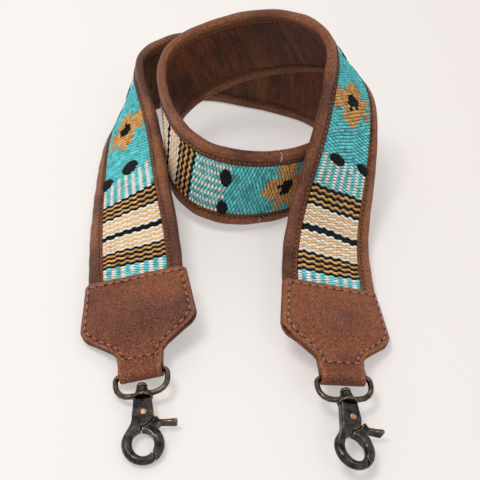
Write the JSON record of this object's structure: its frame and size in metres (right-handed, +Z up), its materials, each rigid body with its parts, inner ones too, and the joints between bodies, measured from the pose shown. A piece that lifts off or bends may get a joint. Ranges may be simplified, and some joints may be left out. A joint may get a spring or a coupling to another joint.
{
  "type": "detachable bag strap",
  "caption": "Short wide bag strap with a woven panel, leather bindings, a folded leather tab at each end and a swivelling trigger hook on each tab, shown loosely coiled.",
  "frame": {"origin": "centre of the plan, on the surface that the coiled strap rests on", "axes": "+Z up; both ends with their hooks point towards -Y; +X runs from the left end to the right end"},
  "size_m": [0.1748, 0.3174, 0.1045],
  "materials": {
    "tab_leather": "oiled full grain leather, warm brown, slightly uneven",
    "binding_leather": "thin oiled leather, brown with darker rubbed patches",
    "lining_leather": "waxed leather, dark brown, finely creased",
    "webbing": "plain cotton webbing, hidden",
    "woven_wool": "flat woven wool with stripes and stepped figures",
    "aged_metal": "dark aged bronze plating, worn bright on the edges",
    "worn_rivet": "rubbed copper coloured rivet",
    "spring_steel": "bare spring wire"
  },
  "bodies": {
    "strap": {"lining_leather": "lining_leather", "webbing_core": "webbing", "woven_panel": "woven_wool", "upper_binding": "binding_leather", "lower_binding": "binding_leather", "left_tab": "tab_leather", "right_tab": "tab_leather"},
    "left_ring": {"left_ring": "aged_metal"},
    "left_hook": {"left_hook_body": "aged_metal", "left_rivet": "worn_rivet", "left_gate_spring": "spring_steel"},
    "left_gate": {"left_gate": "aged_metal"},
    "right_ring": {"right_ring": "aged_metal"},
    "right_hook": {"right_hook_body": "aged_metal", "right_rivet": "worn_rivet", "right_gate_spring": "spring_steel"},
    "right_gate": {"right_gate": "aged_metal"}
  },
  "joints": [
    {"name": "left_ring_hinge", "type": "hinge", "parent": "strap", "child": "left_ring", "pos_m": [-0.04768, -0.09907, 0.00871], "axis": [0.9759, 0.0907, 0.1987], "range_deg": [-110, 110]},
    {"name": "left_hook_swivel", "type": "hinge", "parent": "left_ring", "child": "left_hook", "pos_m": [-0.04618, -0.11211, 0.00732], "axis": [-0.1132, 0.988, 0.105], "continuous": true},
    {"name": "left_gate_hinge", "type": "hinge", "parent": "left_hook", "child": "left_gate", "pos_m": [-0.04486, -0.12367, 0.00609], "axis": [0.0375, -0.1014, 0.9941], "range_deg": [0, 30], "stiffness_Nm_per_rad": 0.1, "springref_deg": -17.19},
    {"name": "right_ring_hinge", "type": "hinge", "parent": "strap", "child": "right_ring", "pos_m": [0.05587, -0.10609, 0.01301], "axis": [0.9884, 0.1, -0.1141], "range_deg": [-110, 110]},
    {"name": "right_hook_swivel", "type": "hinge", "parent": "right_ring", "child": "right_hook", "pos_m": [0.0571, -0.1192, 0.01213], "axis": [-0.0928, 0.9934, 0.0667], "continuous": true},
    {"name": "right_gate_hinge", "type": "hinge", "parent": "right_hook", "child": "right_gate", "pos_m": [0.05818, -0.13082, 0.01135], "axis": [0.3717, -0.0276, 0.9279], "range_deg": [0, 30], "stiffness_Nm_per_rad": 0.1, "springref_deg": -17.19}
  ]
}
